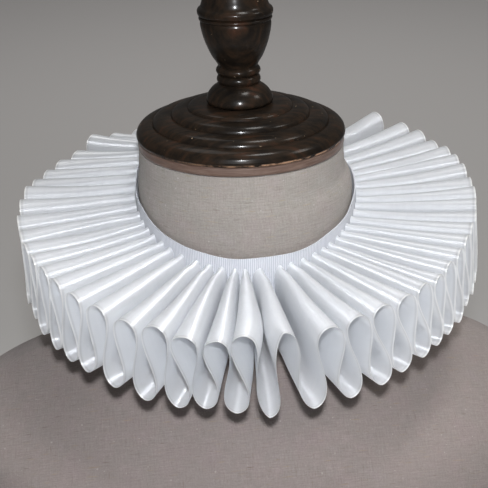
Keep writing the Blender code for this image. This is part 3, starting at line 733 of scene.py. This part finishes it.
def build_form():
    sides = 192
    rows = np.concatenate([smooth_rows(FORM_LEVELS, 6), NECK_PLUG])
    angle = np.linspace(0.0, 2 * math.pi, sides, endpoint=False)
    c, s = np.cos(angle), np.sin(angle)
    pts = np.zeros((len(rows), sides, 3))
    for i, (height, tilt, side, front, back, square, shift) in enumerate(rows):
        depth = np.where(c > 0, front, back)
        pts[i, :, 0] = shift + side * np.copysign(np.abs(s) ** (2.0 / square), s)
        pts[i, :, 1] = -depth * np.copysign(np.abs(c) ** (2.0 / square), c)
        pts[i, :, 2] = height - tilt * c
    # the linen is a skin just inside the form's own outline
    nrm = np.cross(np.gradient(pts, axis=1), np.gradient(pts, axis=0))
    nrm[:, 0] = np.cross(pts[:, 1] - pts[:, -1], np.gradient(pts, axis=0)[:, 0])
    nrm[:, -1] = np.cross(pts[:, 0] - pts[:, -2], np.gradient(pts, axis=0)[:, -1])
    nrm /= np.maximum(np.linalg.norm(nrm, axis=-1, keepdims=True), 1e-9)
    below_neck = np.clip((236.0 - (rows[:, 0])) / 8.0, 0.0, 1.0)
    # raised seams: centre front, centre back and both sides, under the neckline
    for seam_at in (0.0, math.pi / 2, math.pi, 3 * math.pi / 2):
        gap = (angle - seam_at + math.pi) % (2 * math.pi) - math.pi
        arc = np.abs(gap)[None, :] * np.hypot(pts[:, :, 0], pts[:, :, 1])
        ridge = 0.32 * np.exp(-(arc / 2.6) ** 4) - 0.42 * np.exp(-(arc / 0.75) ** 2)
        pts += nrm * (ridge * below_neck[:, None])[..., None]
    # the cover pulls very slightly unevenly over the padding
    wob = (soft_wave(angle * 3.0, 41)[None, :] * soft_wave(rows[:, 0] * 0.05, 43)[:, None]) * 0.25
    wob *= np.abs(np.sin(angle / 2.0))[None, :] ** 0.5
    pts += nrm * (wob * below_neck[:, None])[..., None]
    points = list((pts * MM).reshape(-1, 3))
    n = len(rows)
    faces, uv_of = [], []
    # the cover is cut in panels, so the weave runs straight on the front, the
    # back and each side, and round the neck
    slope = math.radians(40.0)
    for i in range(n - 1):
        neck = rows[i][0] > 240.0
        for j in range(sides):
            j2 = (j + 1) % sides
            faces.append((i * sides + j, i * sides + j2, (i + 1) * sides + j2, (i + 1) * sides + j))
            for k, (row, col) in enumerate(((i, j), (i, j2), (i + 1, j2), (i + 1, j))):
                x, y, z = pts[row, col]
                if neck:
                    uv_of.append(((j + (k in (1, 2))) / sides * 375.0, z + 500.0))
                elif abs(nrm[i, j, 0]) > 0.78:
                    uv_of.append((y + 900.0, z))
                elif c[j] > 0:
                    uv_of.append((x, y * math.sin(slope) + z * math.cos(slope)))
                else:
                    uv_of.append((x + 1700.0, z * math.cos(slope) - y * math.sin(slope)))
    base = len(points)
    points.append((0.0, 0.0, 0.0))
    points.append((0.0, 0.0, rows[-1][0] * MM))
    for j in range(sides):
        j2 = (j + 1) % sides
        faces.append((base, j2, j))
        uv_of += [(0, 0), (pts[0, j2, 0], pts[0, j2, 1]), (pts[0, j, 0], pts[0, j, 1])]
        t = (n - 1) * sides
        faces.append((base + 1, t + j, t + j2))
        uv_of += [(0, 0), (pts[-1, j, 0], pts[-1, j, 1]), (pts[-1, j2, 0], pts[-1, j2, 1])]
    uv_flat = np.array(uv_of, np.float32) * MM
    ob = mesh_object("form_linen", points, faces, [LINEN], lambda me, lv: uv_flat)
    ob.data.set_sharp_from_angle(angle=math.radians(50))
    return ob


EDGE_PROFILE = [
    (56.0, 326.7), (56.9, 326.75), (57.6, 326.5), (57.95, 325.9), (57.75, 325.1),
    (57.95, 324.2), (58.05, 323.2), (57.8, 322.3), (57.2, 321.9), (56.0, 321.9),
]

CAP_TURNING = [
    # radius, height, sharp (1) or rounded (0)
    (0.0, 327.0, 1), (57.2, 327.0, 1), (58.1, 327.4, 0), (58.55, 328.4, 0), (58.6, 329.5, 0),
    (57.9, 331.5, 0), (56.4, 333.3, 0), (53.8, 334.6, 0), (50.7, 335.3, 0), (49.3, 334.9, 1),
    (48.8, 336.5, 0), (46.3, 338.5, 0), (40.7, 339.4, 0), (38.7, 339.0, 1), (38.2, 340.6, 0),
    (35.8, 342.4, 0), (31.0, 343.3, 0), (29.3, 342.9, 1), (28.6, 344.2, 0), (26.2, 344.95, 0),
    (18.6, 345.05, 1), (0.0, 345.05, 1),
]
FINIAL_LEAN = 0.028
FINIAL_TURNING = [
    (0.0, 345.3, 1), (17.2, 345.3, 1), (18.6, 346.4, 0), (18.5, 348.1, 0), (17.3, 351.2, 0),
    (14.9, 353.9, 0), (12.3, 355.6, 0), (10.9, 356.4, 1), (11.9, 357.2, 0), (12.2, 358.8, 0),
    (11.6, 360.4, 0), (10.6, 361.1, 1), (11.9, 362.0, 0), (12.4, 363.6, 0), (11.7, 365.1, 0),
    (10.7, 365.9, 1), (11.6, 368.0, 0), (14.1, 371.5, 0), (17.2, 379.0, 0), (18.75, 385.0, 0),
    (19.4, 389.4, 0), (18.8, 391.0, 1), (19.8, 391.5, 0), (19.9, 392.7, 0), (19.0, 393.2, 1),
    (20.2, 394.0, 0), (20.6, 395.7, 0), (20.1, 397.4, 0), (18.7, 398.3, 1), (17.9, 400.2, 0),
    (17.35, 403.0, 0), (16.6, 406.5, 0), (14.9, 409.9, 0), (11.6, 412.9, 0), (6.6, 414.6, 0),
    (0.0, 415.1, 1),
]


def round_profile(profile, rounds=2):
    """Cuts the corners of a turned outline, but keeps its sharp grooves."""
    pts = [tuple(p) if len(p) == 3 else (*p, 0) for p in profile]
    for _ in range(rounds):
        out = [pts[0]]
        for i in range(1, len(pts) - 1):
            a, b, c = pts[i - 1], pts[i], pts[i + 1]
            if b[2]:
                out.append(b)
                continue
            out.append((b[0] + 0.25 * (a[0] - b[0]), b[1] + 0.25 * (a[1] - b[1]), 0))
            out.append((b[0] + 0.25 * (c[0] - b[0]), b[1] + 0.25 * (c[1] - b[1]), 0))
        out.append(pts[-1])
        pts = out
    return [(p[0], p[1]) for p in pts]


def build_turned(name, profile, sides, mat, seed, rounds=2, lean=0.0):
    prof = round_profile(profile, rounds)
    rnd = random.Random(seed)
    inner = prof[1:-1]
    foot = prof[0][1]
    ang = np.linspace(0, 2 * math.pi, sides, endpoint=False)
    points = []
    for r, z in inner:
        wob = 1.0 + 0.0006 * math.sin(3 * z + rnd.uniform(-0.2, 0.2))
        for a in ang:
            points.append(((r * wob * math.sin(a) + lean * (foot - z)) * MM, -r * wob * math.cos(a) * MM, z * MM))
    low, high = len(points), len(points) + 1
    points += [(0, 0, foot * MM), (lean * (foot - prof[-1][1]) * MM, 0, prof[-1][1] * MM)]
    faces = []
    for k in range(len(inner) - 1):
        for i in range(sides):
            j = (i + 1) % sides
            faces.append((k * sides + i, k * sides + j, (k + 1) * sides + j, (k + 1) * sides + i))
    top = (len(inner) - 1) * sides
    for i in range(sides):
        j = (i + 1) % sides
        faces.append((low, j, i))
        faces.append((high, top + i, top + j))
    ob = mesh_object(name, points, faces, [mat])
    ob.data.set_sharp_from_angle(angle=math.radians(48))
    return ob


def build_edge():
    """Edge tape: a closed ring with a rolled section and a small overlap seam."""
    prof = EDGE_PROFILE
    sides = 220
    points, uvs = [], []
    for i in range(sides):
        a = 2 * math.pi * i / sides
        wave = 0.10 * math.sin(9 * a + 0.7) + 0.06 * math.sin(23 * a)
        lap = 0.18 * math.exp(-(((a - math.pi * 0.93 + math.pi) % (2 * math.pi) - math.pi) / 0.02) ** 4)
        for r, z in prof:
            outer = r > 56.5
            rr = r + (wave * 0.4 + lap if outer else 0.0) - 0.15 * outer
            zz = z + (wave * 0.5 if z < 323.2 and outer else 0.0)
            points.append((rr * math.sin(a) * MM, -rr * math.cos(a) * MM, zz * MM))
    per = len(prof)
    faces, uv_of = [], []
    for i in range(sides):
        p, q = per * i, per * ((i + 1) % sides)
        for k in range(per):
            k2 = (k + 1) % per
            faces.append((p + k, p + k2, q + k2, q + k))
            u0, u1 = 0.057 * 2 * math.pi * i / sides, 0.057 * 2 * math.pi * (i + 1) / sides
            uv_of += [(u0, k * 0.0012), (u0, (k + 1) * 0.0012), (u1, (k + 1) * 0.0012), (u1, k * 0.0012)]
    arr = np.array(uv_of, np.float32)
    ob = mesh_object("cap_edge_tape", points, faces, [EDGING], lambda me, lv: arr)
    bm = bmesh.new()
    bm.from_mesh(ob.data)
    bmesh.ops.recalc_face_normals(bm, faces=bm.faces)
    bm.to_mesh(ob.data)
    bm.free()
    return ob


# ------------------------------------------------------------------ make all
ruff, ribbon_length = build_ruff()
band = build_neckband()
form = build_form()
edge = build_edge()
cap = build_turned("neck_cap_turned", CAP_TURNING, 160, WOOD, 3)
finial = build_turned("finial_turned", FINIAL_TURNING, 96, WOOD, 5, lean=FINIAL_LEAN)

for piece, node, slot in (
    (ruff, "ruff_ribbon", "white_satin"),
    (band, "neckband", "white_grosgrain"),
    (form, "form_torso", "beige_linen"),
    (edge, "cap_edge", "brown_edging"),
    (cap, "neck_cap", "dark_wood"),
    (finial, "finial", "dark_wood"),
):
    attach(piece, "root")
    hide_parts(node)

for name in ("back_hook", "back_eye"):
    node_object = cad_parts[name]
    for s in node_object.material_slots:
        s.material = WIRE

# ----------------------------------------------------------- floor and light
floor_mesh = bpy.data.meshes.new("floor")
floor_mesh.from_pydata([(-6, -6, 0), (6, -6, 0), (6, 6, 0), (-6, 6, 0)], [], [(0, 1, 2, 3)])
floor_mesh.materials.append(make_floor())
floor = bpy.data.objects.new("floor", floor_mesh)
bpy.context.scene.collection.objects.link(floor)
floor.location.z = -0.0002

world = bpy.data.worlds.new("studio")
world.use_nodes = True
world.node_tree.nodes["Background"].inputs["Color"].default_value = (1.0, 0.98, 0.96, 1.0)
world.node_tree.nodes["Background"].inputs["Strength"].default_value = 0.16
bpy.context.scene.world = world
bpy.context.scene.view_settings.view_transform = "Standard"


def area(name, place, aim, size, power, colour=(1, 1, 1)):
    data = bpy.data.lights.new(name, "AREA")
    data.shape = "DISK"
    data.size = size
    data.energy = power
    data.color = colour
    ob = bpy.data.objects.new(name, data)
    ob.location = place
    ob.rotation_euler = (Vector(aim) - Vector(place)).to_track_quat("-Z", "Y").to_euler()
    bpy.context.scene.collection.objects.link(ob)
    return ob


# -------------------------------------------------------------------- camera
cam_data = bpy.data.cameras.new("camera")
cam_data.sensor_width = 36.0
cam_data.lens = 36.0 * 1000.0 / 488.0
cam = bpy.data.objects.new("camera", cam_data)
right = Vector((0.99304, -0.11534, -0.02380))
up = Vector((0.06958, 0.41156, 0.90872))
back = Vector((-0.09502, -0.90405, 0.41672))
eye = Vector((-0.05613, -0.53538, 0.50471))
cam.matrix_world = Matrix((
    (right.x, up.x, back.x, eye.x),
    (right.y, up.y, back.y, eye.y),
    (right.z, up.z, back.z, eye.z),
    (0, 0, 0, 1),
))
bpy.context.scene.collection.objects.link(cam)
bpy.context.scene.camera = cam

# a small cool key just above the camera, a broad warm light overhead and to
# the right, and weak fills for the sides and the back
AIM = (0.0, -0.02, 0.27)
area("key", eye + up * 0.062 + back * 0.028 + right * 0.004, AIM, 0.032, 4.2, (0.94, 0.965, 1.0))
area("overhead", (0.40, -0.22, 2.25), AIM, 0.55, 20.0, (1.0, 0.985, 0.96))
area("right", (1.4, -0.4, 1.6), AIM, 0.5, 8.0, (1.0, 0.97, 0.925))
area("front", (-0.5, -1.7, 0.95), AIM, 0.8, 1.85, (1.0, 0.99, 0.98))
area("back", (-0.3, 0.9, 2.1), AIM, 0.9, 4.4, (1.0, 0.99, 0.97))
area("backdrop", (0.2, 1.0, 1.5), (0.2, 2.7, 0.0), 1.0, 7.0, (1.0, 0.99, 0.98))
